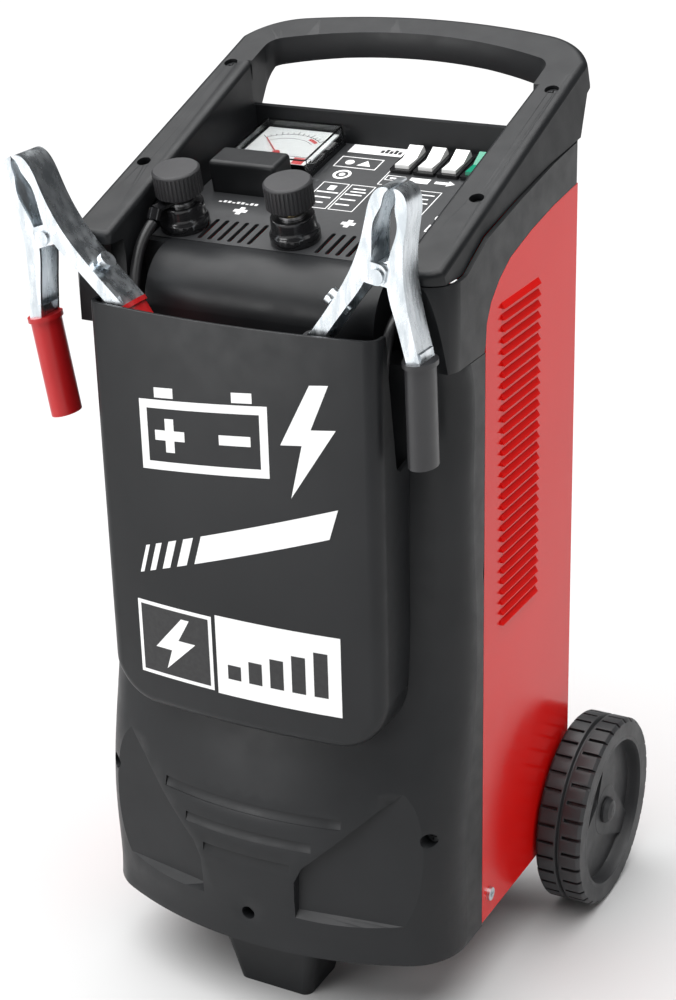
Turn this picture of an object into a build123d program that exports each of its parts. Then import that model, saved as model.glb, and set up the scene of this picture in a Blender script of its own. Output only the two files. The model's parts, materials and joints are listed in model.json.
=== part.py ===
"""Wheeled car battery charger and starter, as an assembly of separate pieces.

Frame: millimetres, +Z up, the front faces -Y, the ground is Z = 0 and the
origin is under the middle of the object.
"""
from build123d import *
from math import atan2, cos, degrees, pi, radians, sin, tan
import os

CENTRE_Y = -4.5           # moves the working origin to the middle of the object's depth

# ---- cabinet -------------------------------------------------------------
HALF_W = 132.0            # half width of the cabinet over the side panels
SHEET = 1.5               # steel sheet
WALL = 3.0                # moulded plastic wall
BODY_FRONT = -59.0        # rear edge of the front moulding at its top; it leans back
BODY_REAR = 84.0          # back face of the rear panel
BODY_BOTTOM = 57.0        # bottom edge of the side panels
SHELL_BOTTOM = 55.0       # bottom of the front moulding
SHELL_TOP = 461.0         # top seam of the front moulding
# upper edge of a side panel, front to rear, as (y, z)
PANEL_EDGE = [(-58.7, 465.5), (-57.1, 478.5), (-50.9, 490.2), (-38.4, 501.3), (-22.5, 510.3),
              (10.2, 519.1), (44.2, 525.5), (81.2, 530.2)]
# seam between the head and the skirt, front to rear, as (y, z)
HEAD_SEAM = [(-93.4, 516.4), (-84.5, 517.1), (-69.6, 524.6), (-54.2, 532.0), (-6.9, 542.8),
             (43.3, 552.9), (88.0, 559.0)]
LOUVRES, LOUVRE_PITCH, LOUVRE_TOP = 30, 7.36, 483.5
LOUVRE_Y0, LOUVRE_Y1 = -36.0, 21.0

# ---- head: two rails that rise to a loop handle ---------------------------
RAIL_SLOPE = 20.18        # degrees
RAIL_Z = 564.27           # height of the rails' top plane at y = 0
RAIL_HALF = 127.0         # half width over the rails' top faces
HEAD_REAR = 154.0         # rear of the handle, measured up the slope
HEAD_CORNER = 52.0        # plan radius of the handle's corners
REAR_WALL = 88.0          # back face of the skirt and of the bulkhead
BULK_FRONT, BULK_REAR, BULK_TOP = 78.0, 84.7, 563.0
HOLES = [(117.2, 74.1), (117.2, -39.2)]        # screw holes in the rail tops

# ---- control panel ---------------------------------------------------------
PANEL_SLOPE = 12.5        # degrees
PANEL_REAR_Y, PANEL_REAR_Z = 78.0, 543.0
PANEL_LEN = 149.0
PANEL_T = 2.0
KNOBS = [(-80.5, -132.0), (-0.3, -132.0)]      # terminals, as (x, up the slope)
KNOB_R, KNOB_TOP, BOSS_R, BOSS_H, STUD_R = 15.4, 40.5, 16.0, 17.0, 4.0
METER = (-61.0, -29.0)
METER_W, METER_D, METER_H = 60.0, 56.0, 14.0
FUSE = (-63.0, -74.0)
FUSE_W, FUSE_D, FUSE_H = 50.0, 23.0, 22.0
ROCKER_X = [25.0, 41.7, 58.4, 75.1]
ROCKER_Y, ROCKER_L, ROCKER_W = -19.0, 32.0, 15.4
ROCKER_TILT = 7.0

# ---- front moulding and pocket ---------------------------------------------
# plan sections of the front moulding: height, front apex, bow radius, corner radius
SHELL_SECTIONS = [(55.0, -149.0, 265.0, 42.0), (110.0, -149.3, 265.0, 42.0), (160.0, -144.0, 275.0, 40.0),
                  (220.0, -125.5, 330.0, 34.0), (290.0, -111.0, 450.0, 26.0), (375.0, -104.5, 800.0, 20.0),
                  (461.0, -104.0, 1100.0, 18.0)]
HOOD_HALF, HOOD_FRONT, HOOD_TOP, HOOD_R = 80.0, -104.0, 511.0, 33.0
POCKET_HALF, POCKET_SIDE_Y, POCKET_APEX = 99.5, -139.0, -147.0
POCKET_BOTTOM, POCKET_TOP = 216.0, 488.0
RIBS = [(157.0, 66.6), (138.5, 47.5), (120.5, 32.7)]
# seats of the screws in their deep holes
SHELL_HOLES = [(-118.7, -106.7, 148.4), (118.7, -106.7, 148.4), (0.0, -137.0, 78.0)]

# ---- running gear ------------------------------------------------------------
AXLE_Y, WHEEL_R, RIM_R = 89.8, 68.5, 55.5
AXLE_R, BORE_R = 5.0, 5.05
WHEEL_IN, WHEEL_OUT = 134.0, 167.0
FOOT_H = 55.0

# ---- clamps and cables --------------------------------------------------------
CLAMP_Y, CLAMP_W, CLAMP_T = -125.0, 24.0, 1.8
INNER_W = CLAMP_W - 2 * CLAMP_T - 0.6
CLAMPS = {"negative": (99.5, 527.0, -10.7, 1), "positive": (-130.0, 523.5, 21.5, -1)}
GRIP_L, GRIP_A, GRIP_W, GRIP_D = 65.0, 12.0, 16.0, 24.0
CABLE_R = 3.5

RAIL = Plane(origin=(0, 0, RAIL_Z), x_dir=(1, 0, 0),
             z_dir=(0, -sin(radians(RAIL_SLOPE)), cos(radians(RAIL_SLOPE))))
DECK = Plane(origin=(0, PANEL_REAR_Y, PANEL_REAR_Z), x_dir=(1, 0, 0),
             z_dir=(0, -sin(radians(PANEL_SLOPE)), cos(radians(PANEL_SLOPE))))
os.makedirs("parts", exist_ok=True)


def save(name, *shapes):
    """Write one node; identical pieces of a node stay separate solids."""
    solids = [s for shape in shapes for s in shape.solids()]
    out = Pos(0, CENTRE_Y, 0) * (solids[0] if len(solids) == 1 else Compound(solids))
    export_step(out, f"parts/{name}.step")
    print(f"{name:24s} {len(solids)} solids")


def side(points, x0, x1):
    """Prism along X of a closed outline given as (y, z)."""
    face = make_face(Polyline([(x0, y, z) for y, z in points], close=True))
    return extrude(face, amount=x1 - x0, dir=(1, 0, 0))


def front(points, y0, y1):
    """Prism along Y of a closed outline given as (x, z)."""
    face = make_face(Polyline([(x, y0, z) for x, z in points], close=True))
    return extrude(face, amount=y1 - y0, dir=(0, 1, 0))


def block(x0, x1, y0, y1, z0, z1):
    return Pos((x0 + x1) / 2, (y0 + y1) / 2, (z0 + z1) / 2) * Box(x1 - x0, y1 - y0, z1 - z0)


def rod(a, b, r):
    """Cylinder from point a to point b."""
    a, b = Vector(*a), Vector(*b)
    return extrude(Plane(origin=a, z_dir=(b - a)) * Circle(r), amount=(b - a).length)


def turned(profile):
    """Solid of revolution about Z of an outline given as (r, z)."""
    return revolve(make_face(Polyline([(r, 0, z) for r, z in profile], close=True)), Axis.Z, 360)


def both(shape):
    """A piece and its mirror image across X = 0."""
    return [shape, mirror(shape, about=Plane.YZ)]


def soften(shape, edges, radius):
    """Round the edges as far as they allow."""
    for r in (radius, radius * 0.7, radius * 0.45):
        try:
            done = fillet(edges, r)
            if done.is_valid:
                return done
        except Exception:
            continue
    print("   left sharp:", len(edges), "edges of radius", radius)
    return shape


def rail_z(y):
    return RAIL_Z + y * tan(radians(RAIL_SLOPE))


def deck_z(y):
    return PANEL_REAR_Z + (y - PANEL_REAR_Y) * tan(radians(PANEL_SLOPE))


# ---------------------------------------------------------------- cabinet
def side_panel():
    """Right-hand sheet with a column of pressed louvres that open downwards."""
    outline = [(-63.5, BODY_BOTTOM)] + PANEL_EDGE + [(BODY_REAR, 530.5), (BODY_REAR, BODY_BOTTOM)]
    panel = side(outline, HALF_W - SHEET, HALF_W)
    flange = block(HALF_W - 14, HALF_W - SHEET, -60, 80, BODY_BOTTOM, BODY_BOTTOM + SHEET)
    w = HALF_W
    hoods, slots = [], []
    for i in range(LOUVRES):
        z = LOUVRE_TOP - i * LOUVRE_PITCH
        hoods.append(front([(w, z + 2.2), (w + 2.3, z - 1.6), (w, z - 1.6)], LOUVRE_Y0, LOUVRE_Y1))
        slot = [(w - 2, z - 2.4), (w + 1.5, z - 2.4), (w + 1.5, z - 0.9), (w + 0.9, z - 0.6),
                (w - 2, z - 0.6)]
        slots.append(front(slot, LOUVRE_Y0 + 1, LOUVRE_Y1 - 1))
    hole = rod((HALF_W - 5, -52, 74), (HALF_W + 5, -52, 74), 2.1)
    return (panel + flange + hoods) - slots - hole


def rear_panel():
    """Back sheet with two groups of slots and a hole for the mains gland."""
    panel = block(-HALF_W + 1.6, HALF_W - 1.6, BODY_REAR - SHEET, BODY_REAR, BODY_BOTTOM, 530)
    slots = [block(x - 26, x + 26, 80, 90, z - 1.8, z + 1.8)
             for x in (-62, 62) for z in range(300, 460, 11)]
    return panel - slots - rod((-70, 80, 170), (-70, 90, 170), 8.0)


def base_tray():
    """Bottom sheet with upturned edges that carries the transformer."""
    tray = block(-130.3, 130.3, -60.5, 82.3, 58.6, 70)
    tray -= block(-128.8, 128.8, -59, 80.8, 60.1, 80)
    return tray


# ---------------------------------------------------------------- head
def head_outer():
    """Full outer form of the rails and the handle, before it is hollowed."""
    tapered = front([(-RAIL_HALF, 0), (RAIL_HALF, 0), (HALF_W, -36), (HALF_W, -150), (-HALF_W, -150),
                     (-HALF_W, -36)], -140, 170)
    bow = Pos(0, HEAD_REAR - 420) * Circle(420)
    plan = (Pos(0, 10) * Rectangle(2 * HALF_W, 300)) & (bow + Pos(0, -60) * Rectangle(300, 300))
    rear = [v for v in plan.vertices() if v.Y > 100]
    plan = fillet(rear, HEAD_CORNER)
    loop = Pos(0, 0, -150) * extrude(plan, amount=160)
    body = RAIL * (tapered & loop)
    low = [(-112.0, 516.0)] + HEAD_SEAM + [(104.0, 584.0), (118.0, 590.5), (165.0, 607.8), (165.0, 650.0),
                                            (-112.0, 650.0)]
    corners = Pos(0, 44) * Rectangle(2 * HALF_W, 312)
    corners = fillet([v for v in corners.vertices() if v.Y < 0], 18.0)
    return body & side(low, -140, 140) & extrude(Pos(0, 0, 500) * corners, amount=160)


def head_frame():
    """Rails, loop handle, inner flanks and bulkhead: the upper moulding."""
    body = head_outer()
    tops = [e for e in body.edges() if e.length > 60 and abs(RAIL.to_local_coords(e.center()).Z) < 0.3]
    body = soften(body, tops, 7.0)
    flanks = front([(-107, 440), (107, 440), (107, 640), (-107, 640)], -97, BULK_REAR)
    flanks &= side([(-97, 463), (-68.5, 463), (-68.5, deck_z(-68) - 8), (BULK_REAR, deck_z(BULK_REAR) - 8),
                    (BULK_REAR, BULK_TOP + 8), (-97, rail_z(-97) - 12)], -120, 120)
    body += flanks
    # the deck's recess, drafted, with its floor on the panel
    recess = front([(-96.5, 505), (96.5, 505), (109.2, 650), (-109.2, 650)], -140, BULK_FRONT)
    recess &= side([(-140, deck_z(-140) - 2.2), (BULK_FRONT, deck_z(BULK_FRONT) - 2.2), (BULK_FRONT, 660),
                    (-140, 660)], -120, 120)
    body -= recess
    body -= front([(-92, 440), (92, 440), (92, 560), (-92, 560)], -140, 77.5) & side(
        [(-140, 440), (77.5, 440), (77.5, deck_z(77.5) - 1), (-140, deck_z(-140) - 1)], -120, 120)
    body -= block(-96.5, 96.5, -140, -68.5, 440, 540)
    # see-through handle opening
    hole = make_face([Line((-103, 76, 500), (-103, 104, 500)),
                      ThreePointArc((-103, 104, 500), (0, 123, 500), (103, 104, 500)),
                      Line((103, 104, 500), (103, 76, 500)), Line((103, 76, 500), (-103, 76, 500))])
    opening = extrude(hole, amount=160, dir=(0, 0, 1))
    opening = soften(opening, [e for e in opening.edges().filter_by(Axis.Z) if e.center().Y > 90], 12.0)
    body -= opening & side([(70, BULK_TOP), (BULK_REAR, BULK_TOP), (BULK_REAR, 500), (140, 500), (140, 660),
                            (70, 660)], -120, 120)
    # the rails are open channels underneath
    for s in (1, -1):
        inside = RAIL * front([(s * 111.5, -5.5), (s * 122.0, -5.5), (s * 126.0, -17.0), (s * 128.8, -38.0),
                               (s * 128.8, -120.0), (s * 101.8, -120.0), (s * 103.8, -30.0)], -130, 110)
        body -= inside & block(-140, 140, -108, 83, 440, 620)
    for x, y in HOLES:
        for s in (1, -1):
            body -= rod((s * x, y + 8, rail_z(y) - 22), (s * x, y - 6, rail_z(y) + 16), 4.6)
    inner = [e for e in body.edges() if e.length > 40 and 95 < abs(e.center().X) < 110
             and abs(RAIL.to_local_coords(e.center()).Z) < 1.5]
    return soften(body, inner, 4.0)


def head_skirt():
    """Collar between the head and the steel panels; it closes both front corners."""
    plan = Pos(0, -12) * Rectangle(2 * HALF_W, 200)
    plan = fillet([v for v in plan.vertices() if v.Y < 0], 18.0)
    plan = fillet([v for v in plan.vertices() if v.Y > 80], 7.0)
    ring = extrude(Pos(0, 0, 440) * plan, amount=140)
    band = [(-104.5, SHELL_TOP + 0.5), (-60.5, SHELL_TOP + 0.5)] + [(y, z + 0.3) for y, z in PANEL_EDGE]
    band += [(REAR_WALL, 530.8)] + [(y, z - 0.7) for y, z in reversed(HEAD_SEAM)] + [(-112.0, 515.2)]
    ring &= side(band, -140, 140)
    core = Pos(0, -12) * Rectangle(2 * (HALF_W - WALL), 200 - 2 * WALL)
    core = fillet([v for v in core.vertices() if v.Y < 0], 15.0)
    inside = side([(-101, 430), (85, 430), (85, 600), (-108.8, 600), (-108.8, 516)], -140, 140)
    ring -= extrude(Pos(0, 0, 430) * core, amount=160) & inside
    ring -= block(-108, 108, -125, -60, 440, 540)
    return ring


def control_panel():
    """Sloping deck with two groups of vent slots and openings for the fittings."""
    rear, fore = 99.2, 96.2
    deck = extrude(make_face(Polyline([(-rear, -0.7), (rear, -0.7), (fore, -PANEL_LEN), (-fore, -PANEL_LEN)],
                                      close=True)), amount=-PANEL_T)
    for x0 in (-63.3, 20.5):
        for i in range(6):
            slot = extrude(SlotOverall(26, 3.0, rotation=90), amount=4, both=True)
            deck -= Pos(x0 + i * 7.2, -132.5, 0) * slot
    for x, y in KNOBS:
        deck -= Pos(x, y, 0) * Cylinder(6.2, 10)
    deck -= Pos(METER[0], METER[1] - 2, 0) * Cylinder(22, 10)
    for x in ROCKER_X:
        deck -= Pos(x, ROCKER_Y, 0) * Box(12.2, 28.2, 10)
    return DECK * deck


# ---------------------------------------------------------------- front moulding
def shell_section(z, apex, bow, corner, grow=0.0):
    """Plan outline of the front moulding at one height."""
    w = HALF_W + grow
    front_y = apex - grow
    box = Pos(0, (BODY_FRONT + front_y - 40) / 2) * Rectangle(2 * w, BODY_FRONT - front_y + 40)
    disc = Pos(0, front_y + bow + grow) * Circle(bow + grow)
    outline = box & disc
    outline = fillet([v for v in outline.vertices() if v.Y < BODY_FRONT - 5], corner + grow)
    return Pos(0, 0, z) * outline


def shell_form(grow=0.0):
    return loft([shell_section(z, a, b, c, grow) for z, a, b, c in SHELL_SECTIONS])


def hood_form(off, half):
    """Rounded top that rolls from the deck's front edge down into the pocket."""
    rear, low = (-60.0 if off else -69.0), 452.0 - 2 * off
    top, fore, bend = HOOD_TOP - off, HOOD_FRONT + off, HOOD_FRONT + HOOD_R
    mid = (HOOD_R - off) * cos(radians(45))
    arc = ThreePointArc((-half, bend, top), (-half, bend - mid, HOOD_TOP - HOOD_R + mid),
                        (-half, fore, HOOD_TOP - HOOD_R))
    rest = Polyline((-half, fore, HOOD_TOP - HOOD_R), (-half, fore, low), (-half, rear, low),
                    (-half, rear, top), (-half, bend, top))
    return extrude(make_face([arc, rest]), amount=2 * half, dir=(1, 0, 0))


def facets(off):
    """Two slanted flats that leave a funnel-shaped centre standing proud, over a sloping ledge."""
    crease = [(35.0, 97), (35.5, 111), (41, 122), (55, 132.5), (72, 143.5), (88, 152.5), (104, 158.5),
              (139, 167)]
    wedges = []
    for s in (1, -1):
        area = [(139, 62 - off), (35 - off, 82 - off)] + [(x - off, z + off) for x, z in crease]
        area = make_face(Polyline([(s * x, -147, z) for x, z in area], close=True))
        prism = extrude(area, amount=150, dir=(0, 1, 0.8)) + extrude(area, amount=60, dir=(0, -1, -0.8))
        plan = make_face(Polyline([(0, off - 154.6, 0), (s * 140, off - 125.86, 0), (s * 140, -200, 0),
                                   (0, -200, 0)], close=True))
        wedges.append(prism & loft([plan, Pos(0, 18.7, 240) * plan]))
    return wedges[0] + wedges[1]


def groove(outer, z, half):
    """Cutter for one horizontal groove: sharp at the top, running out below."""
    r = 270.0
    apex = (outer & block(-0.5, 0.5, -200, -100, z - 0.1, z + 0.1)).bounding_box().min.Y
    ring = [(r + 4, z + 3.4), (r - 2.1, z + 3.4), (r - 2.1, z + 2.2), (r + 0.2, z - 3.6), (r + 4, z - 3.6)]
    ring = make_face(Polyline([(0, -d, h) for d, h in ring], close=True))
    arc = degrees(half / r)
    return Pos(0, apex + r, 0) * revolve(Rotation(0, 0, -arc) * ring, Axis.Z, 2 * arc)


def front_shell():
    """Lower front moulding with its rolled hood and the side walls of both wells."""
    outer = shell_form() - facets(0.0)
    inner = shell_form(-WALL) - facets(WALL)
    inner &= block(-200, 200, -200, -50, SHELL_BOTTOM + WALL, SHELL_TOP - WALL)
    inner += Pos(0, 4, 0) * inner
    rear_edge = side([(-63.9, 50), (-63.9, 57), (-59.1, 465.5), (-40, 465.5), (-40, 50)], -140, 140)
    shell = (outer - inner) - rear_edge
    shell += both(block(127.2, 130.2, -74, -52, 85, SHELL_TOP - WALL))      # lips behind the side panels
    shell += [rod((x, -155, z), (x, y + 2.5, z), 7.6) & outer for x, y, z in SHELL_HOLES]
    shell -= [groove(outer, z, half) for z, half in RIBS]
    for x, y, z in SHELL_HOLES:
        shell -= rod((x, -160, z), (x, y, z), 4.8) + rod((x, -160, z), (x, -60, z), 2.2)
    hood = hood_form(0.0, HOOD_HALF) - hood_form(WALL, HOOD_HALF - WALL)
    wells = both(block(HOOD_HALF - 1, 96.2, -76, -69, 458, 510.5))
    x, _, z = GLAND_TIP
    return shell + hood + wells - rod((x, -80, z), (x, -60, z), 5.0)


def pocket_form(off):
    """Solid form of the cable pocket, off millimetres inside its outer faces."""
    half, side_y, apex = POCKET_HALF - off, POCKET_SIDE_Y + off, POCKET_APEX + off
    plan = make_face([ThreePointArc((-half, side_y, 200), (0, apex, 200), (half, side_y, 200)),
                      Line((half, side_y, 200), (half, -85, 200)), Line((half, -85, 200), (-half, -85, 200)),
                      Line((-half, -85, 200), (-half, side_y, 200))])
    form = extrude(plan, amount=300, dir=(0, 0, 1))
    form = fillet([e for e in form.edges().filter_by(Axis.Z) if e.center().Y < -120], 10.0 - off)
    face = RectangleRounded(2 * half, 2 * (POCKET_TOP - POCKET_BOTTOM), 34 - off)
    window = extrude(Plane.XZ.offset(60) * Pos(0, POCKET_TOP + off) * face, amount=120)
    return form & window & block(-200, 200, -200, 0, POCKET_BOTTOM, POCKET_TOP + (5 if off else 0))


def pocket_cover():
    """Cable pocket: front and sides, with a tall notch in each side for a clamp."""
    outer = pocket_form(0.0)
    low = [e for e in outer.edges() if e.center().Z < POCKET_BOTTOM + 30 and e.center().Y < -134]
    outer = soften(outer, low, 8.0)
    cover = outer - pocket_form(WALL)
    cover -= shell_form(0.05)
    notch = side([(-126.5, 500), (-125.0, 478), (-114.5, 401), (-110.5, 398), (-80, 404), (-80, 500)],
                 -120, 120)
    return cover - (notch - block(-90, 90, -200, 0, 300, 600))


def front_foot():
    """Hollow tapered foot under the front moulding."""
    def ring(off):
        low = Pos(0, -97.5, 0) * RectangleRounded(55 - 2 * off, 42 - 2 * off, 6 - off)
        high = Pos(0, -97.0, FOOT_H) * RectangleRounded(78 - 2 * off, 62 - 2 * off, 8 - off)
        return loft([low, high])
    foot = ring(0.0) - (ring(3.0) & block(-60, 60, -160, 0, 4, 60))
    return foot


# ---------------------------------------------------------------- running gear
def axle():
    return rod((-WHEEL_OUT + 3, AXLE_Y, WHEEL_R), (WHEEL_OUT - 3, AXLE_Y, WHEEL_R), AXLE_R)


def axle_bracket(x):
    """Bent steel bracket on the rear panel that carries the axle."""
    plate = block(x - 14, x + 14, BODY_REAR, BODY_REAR + 2.0, 60, 106)
    lug = block(x - 5, x + 5, BODY_REAR + 2.0, AXLE_Y + 11, 58, 80)
    bar = rod((x - 40, AXLE_Y, WHEEL_R), (x + 40, AXLE_Y, WHEEL_R), AXLE_R)
    return (plate + lug) - bar


def tyre():
    """Tread ring with two staggered rows of blocks and a groove round the middle."""
    w = WHEEL_OUT - WHEEL_IN
    prof = [(RIM_R, 0), (66.3, 0), (WHEEL_R, 2.2), (WHEEL_R, w / 2 - 1.6), (65.4, w / 2 - 0.8)]
    prof += [(r, w - h) for r, h in reversed(prof)]
    ring = turned(prof)
    cuts = []
    for i in range(34):
        for row, shift in ((0, 0.0), (1, 0.5)):
            slot = Pos(WHEEL_R, 0, w * (0.2 + 0.6 * row)) * Box(5.6, 2.6, w * 0.42)
            cuts.append(Rotation(0, 0, (i + shift) * 360 / 34) * slot)
    ring -= cuts
    return Pos(WHEEL_IN, AXLE_Y, WHEEL_R) * Rotation(0, 90, 0) * ring


def wheel():
    """Moulded disc: rim, recessed web, three-armed stiffener and hub."""
    w = WHEEL_OUT - WHEEL_IN
    prof = [(BORE_R, 3), (20, 3), (20, 12), (52, 12), (52, 0), (RIM_R, 0), (RIM_R, w), (53.0, w),
            (51.5, w - 9.5), (20.5, w - 9.5), (20.5, w - 8), (18, w - 7), (BORE_R, w - 7)]
    disc = turned(prof)
    for k in range(3):
        arm = make_face(Polyline([(0, -19, 0), (51.0, -8, 0), (51.0, 8, 0), (0, 19, 0)], close=True))
        arm = Pos(0, 0, w - 10.5) * extrude(arm, amount=3.3, dir=(0, 0, 1))
        disc += Rotation(0, 0, 50 + 120 * k) * arm
    disc -= Cylinder(BORE_R, 200)
    return Pos(WHEEL_IN, AXLE_Y, WHEEL_R) * Rotation(0, 90, 0) * disc


def axle_cap():
    """Push-on cap that keeps a wheel on the axle."""
    cap = turned([(0, 0), (9.6, 0), (9.6, 1.8), (7.5, 4.6), (4, 6.0), (0, 6.4)])
    placed = Pos(WHEEL_OUT - 6.6, AXLE_Y, WHEEL_R) * Rotation(0, 90, 0) * cap
    return placed - rod((100, AXLE_Y, WHEEL_R), (WHEEL_OUT - 3, AXLE_Y, WHEEL_R), AXLE_R)


# ---------------------------------------------------------------- terminals
def terminal_boss(x, y):
    prof = [(STUD_R, 0), (BOSS_R, 0), (BOSS_R, 6), (14.6, 8), (14.0, BOSS_H), (STUD_R, BOSS_H)]
    boss = turned(prof)
    return DECK * Pos(x, y, 0) * boss


def terminal_stud(x, y):
    stud = Pos(0, 0, 10) * Cylinder(STUD_R, 52)
    nut = Pos(0, 0, -5) * extrude(RegularPolygon(6.0, 6), amount=-6)
    return DECK * Pos(x, y, 0) * (stud + nut)


def ring_plate(x, y, z0, z1, r):
    return DECK * Pos(x, y, (z0 + z1) / 2) * (Cylinder(r, z1 - z0) - Cylinder(STUD_R, 20))


def terminal_knob(x, y):
    """Fluted cap that screws down on the stud."""
    z0 = BOSS_H + 3.8
    prof = [(STUD_R + 0.05, z0), (10.0, z0), (10.6, z0 + 2.5), (KNOB_R, z0 + 3.2), (KNOB_R, KNOB_TOP - 1.2),
            (KNOB_R - 1.2, KNOB_TOP), (0, KNOB_TOP), (0, KNOB_TOP - 3.6), (STUD_R + 0.05, KNOB_TOP - 3.6)]
    knob = turned(prof)
    flute = Pos(KNOB_R + 0.45, 0, (z0 + KNOB_TOP) / 2 - 1.2) * Cylinder(0.9, KNOB_TOP - z0 - 2.4)
    flutes = [Rotation(0, 0, i * 10) * flute for i in range(36)]
    return DECK * Pos(x, y, 0) * (knob - flutes)


def ring_lug():
    """Crimped terminal of the positive cable, on the left stud."""
    x, y = KNOBS[0]
    eye = Cylinder(8.2, 2.0)
    tongue = Rotation(0, 0, LUG_TURN) * Pos(LUG_REACH / 2 + 2, 0, 0) * Box(LUG_REACH - 4, 8, 2.0)
    eye = (eye + tongue) - Cylinder(STUD_R, 10)
    eye = DECK * Pos(x, y, BOSS_H + 2.6) * eye
    a = radians(LUG_TURN)
    base = DECK.from_local_coords(Vector(x + LUG_REACH * cos(a), y + LUG_REACH * sin(a), BOSS_H + 2.6))
    barrel = rod(tuple(base), tuple(Vector(*LUG_TIP) + (base - Vector(*LUG_TIP)).normalized() * 1.5), 4.4)
    return eye + barrel


# ---------------------------------------------------------------- meter and fuse
def meter_case():
    """Black body of the panel ammeter, in the deck."""
    flange = Pos(0, 0, 1.5) * extrude(RectangleRounded(METER_W, METER_D, 2.5), amount=1.5, both=True)
    seat = Pos(0, 3, 5.0) * Box(METER_W - 7, METER_D - 12, 4.0)
    drum = Pos(0, -2, -14) * Cylinder(21.5, 28)
    chin = Pos(0, -METER_D / 2 + 6.3, 6.5) * Box(METER_W - 6, 8.0, 7.0)
    return DECK * Pos(*METER, 0) * (flange + seat + drum + chin)


def meter_dial():
    return DECK * Pos(METER[0], METER[1] + 3.5, 7.5) * Box(METER_W - 8, METER_D - 15, 1.0)


def meter_needle():
    """Pointer with its hub, at the zero end of the scale."""
    hub = Pos(0, 0, 9.6) * Cylinder(2.6, 1.6)
    arm = Pos(0, 13, 9.6) * Box(0.7, 27, 0.6)
    return DECK * Pos(METER[0], METER[1] - 14.5, 0) * Rotation(0, 0, 42) * (hub + arm)


def meter_cover():
    """Clear window over the dial."""
    outer = Pos(0, 0, 3) * extrude(RectangleRounded(METER_W - 1.5, METER_D - 1.5, 2.0), amount=METER_H - 3)
    inner = Pos(0, 0, 0) * extrude(RectangleRounded(METER_W - 4.5, METER_D - 4.5, 1.0), amount=METER_H - 1.5)
    return DECK * Pos(*METER, 0) * (outer - inner)


def fuse_base():
    base = Pos(0, 0, 2) * Box(FUSE_W - 5, FUSE_D - 5, 4)
    posts = [Pos(s * 14, 0, 5) * Cylinder(3.6, 4) for s in (1, -1)]
    return DECK * Pos(*FUSE, 0) * (base + posts)


def fuse_strip():
    """Bolt-down strip fuse: two lugs and a narrow link."""
    strip = Box(14, 4, 1.2)
    for s in (1, -1):
        strip += Pos(s * 14, 0, 0) * Box(14, 9, 1.2)
    studs = [Pos(s * 14, 0, 1.6) * Cylinder(3.2, 3.6) for s in (1, -1)]
    return DECK * Pos(FUSE[0], FUSE[1], 7.6) * (strip + studs)


def fuse_cover():
    """Snap-off cover over the strip fuse."""
    outer = extrude(RectangleRounded(FUSE_W, FUSE_D, 3.0), amount=FUSE_H)
    outer = soften(outer, outer.faces().sort_by(Axis.Z)[-1].edges(), 3.0)
    outer -= extrude(RectangleRounded(FUSE_W - 4, FUSE_D - 4, 1.5), amount=FUSE_H - 2.2)
    return DECK * Pos(FUSE[0], FUSE[1], 0.2) * outer


# ---------------------------------------------------------------- rockers
def rocker_frame(x):
    bezel = Pos(0, 0, 1.3) * extrude(RectangleRounded(ROCKER_W, ROCKER_L, 1.2), amount=1.3, both=True)
    body = Pos(0, 0, -9) * Box(12, 28, 18)
    frame = (bezel + body) - Pos(0, 0, -2) * Box(10.4, 26.9, 14.0)
    frame -= Pos(0, 0, 0.4) * Rotation(0, 90, 0) * Cylinder(1.25, 11.6)
    return DECK * Pos(x, ROCKER_Y, 0) * frame


def rocker(x, tilt):
    """Two-faced key on cross pins, tilted to one end."""
    key = side([(-13.2, -4.5), (-13.2, 4.2), (-11.8, 5.8), (0, 3.4), (11.8, 5.8), (13.2, 4.2), (13.2, -4.5)],
               -4.95, 4.95) & Rotation(0, 90, 0) * Cylinder(13.2, 20)
    pins = Rotation(0, 90, 0) * Cylinder(1.2, 11.4)
    return DECK * Pos(x, ROCKER_Y, 0.4) * Rotation(tilt, 0, 0) * (key + pins)


# ---------------------------------------------------------------- clamps
# one arm of a clamp, jaw to handle: web line (u, v) and the depth of its side plates
ARM = [((1.5, 52.5), 1.0), ((7.5, 50.5), 6.0), ((11.0, 44.0), 7.5), ((12.2, 33.0), 5.5),
       ((12.8, 21.0), 6.5), ((14.6, 8.0), 10.0), ((18.6, -7.0), 10.5), ((24.0, -21.0), 9.0),
       ((30.0, -34.5), 8.5), ((35.0, -45.0), 8.5)]
FIXED_TAIL = ((39.3, -54.5), 8.5)      # the arm that stays in the pocket is longer


def clamp_plane(key):
    """Plane of a clamp at mid width: local x and y lie in the plane of the jaws."""
    x, z, lean, _ = CLAMPS[key]
    return Plane(origin=(x, CLAMP_Y, z), x_dir=(cos(radians(lean)), 0, sin(radians(lean))), z_dir=(0, -1, 0))


def arm_line(width):
    return ARM + [FIXED_TAIL] if width == CLAMP_W else ARM


def offset_line(line, d, extra=0.0):
    """The arm's web line moved d inwards, or to the plates' free edge when d is None."""
    out = []
    for i, ((u, v), depth) in enumerate(line):
        (u0, v0), (u1, v1) = line[max(i - 1, 0)][0], line[min(i + 1, len(line) - 1)][0]
        t = Vector(u1 - u0, v1 - v0).normalized()
        shift = depth + extra if d is None else d
        out.append((u + t.Y * shift, v - t.X * shift))
    return out


def arm_prism(line_a, line_b, width):
    a, b = Spline(*line_a), Spline(*line_b)
    face = make_face([a, b, Line(line_a[0], line_b[0]), Line(line_a[-1], line_b[-1])])
    return extrude(face, amount=width / 2, both=True)


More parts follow.
